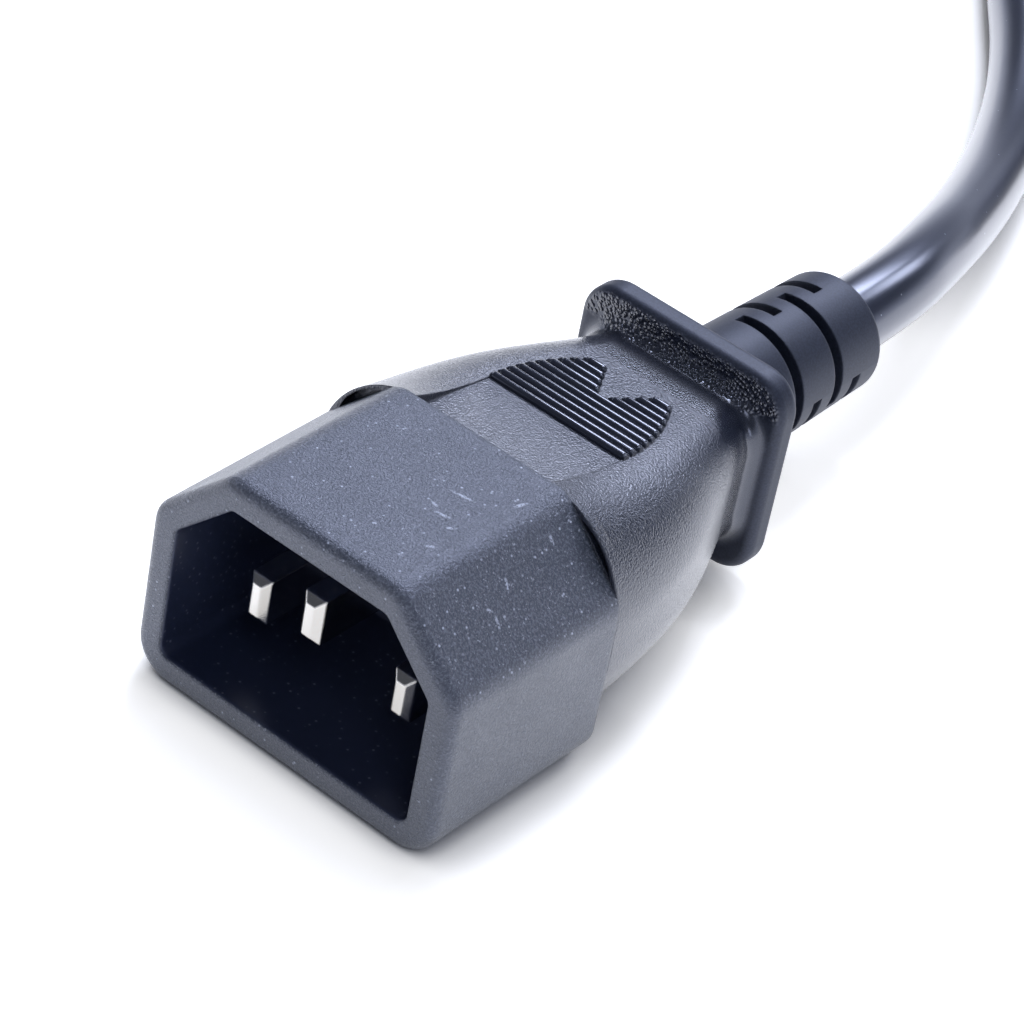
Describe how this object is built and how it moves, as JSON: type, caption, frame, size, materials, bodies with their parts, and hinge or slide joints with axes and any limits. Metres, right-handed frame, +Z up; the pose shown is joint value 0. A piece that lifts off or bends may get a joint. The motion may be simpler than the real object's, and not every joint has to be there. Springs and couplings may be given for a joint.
{
  "type": "power extension cord",
  "caption": "Black mains extension lead with a chamfered three-pin inlet plug, ribbed grip, flange and slotted strain relief, its cord folded in a tied hank to a matching socket.",
  "frame": {"origin": "on the floor below the middle of the inlet plug", "axes": "+Y from the plug's open mouth to its cord, +X across the pins, +Z up from the resting face to the earth side"},
  "size_m": [0.0604, 0.3249, 0.0212],
  "materials": {
    "shroud_plastic": "matt, fine spark-eroded grain",
    "grip_pvc": "satin, fine leather grain",
    "cord_pvc": "satin, smooth extruded jacket",
    "nickel_plated_brass": "bright nickel plate",
    "brass_contact": "bright stamped sheet",
    "copper_strand": "bare stranded copper",
    "brown_insulation": "satin",
    "blue_insulation": "satin",
    "green_yellow_insulation": "satin, two-colour stripe",
    "tie_strap": "woven hook-and-loop tape"
  },
  "bodies": {
    "root": {"plug_shroud": "shroud_plastic", "plug_line_pin": "nickel_plated_brass", "plug_neutral_pin": "nickel_plated_brass", "plug_earth_pin": "nickel_plated_brass", "plug_overmould": "grip_pvc", "plug_jacket": "cord_pvc", "cord_lead": "cord_pvc", "cord_hank": "cord_pvc", "cord_tail": "cord_pvc", "cord_tie": "tie_strap", "socket_insert": "shroud_plastic", "socket_line_contact": "brass_contact", "socket_neutral_contact": "brass_contact", "socket_earth_contact": "brass_contact", "socket_overmould": "grip_pvc", "socket_jacket": "cord_pvc", "plug_line_core": "brown_insulation", "plug_line_strands": "copper_strand", "plug_neutral_core": "blue_insulation", "plug_neutral_strands": "copper_strand", "plug_earth_core": "green_yellow_insulation", "plug_earth_strands": "copper_strand", "socket_line_core": "brown_insulation", "socket_line_strands": "copper_strand", "socket_neutral_core": "blue_insulation", "socket_neutral_strands": "copper_strand", "socket_earth_core": "green_yellow_insulation", "socket_earth_strands": "copper_strand"}
  },
  "joints": []
}
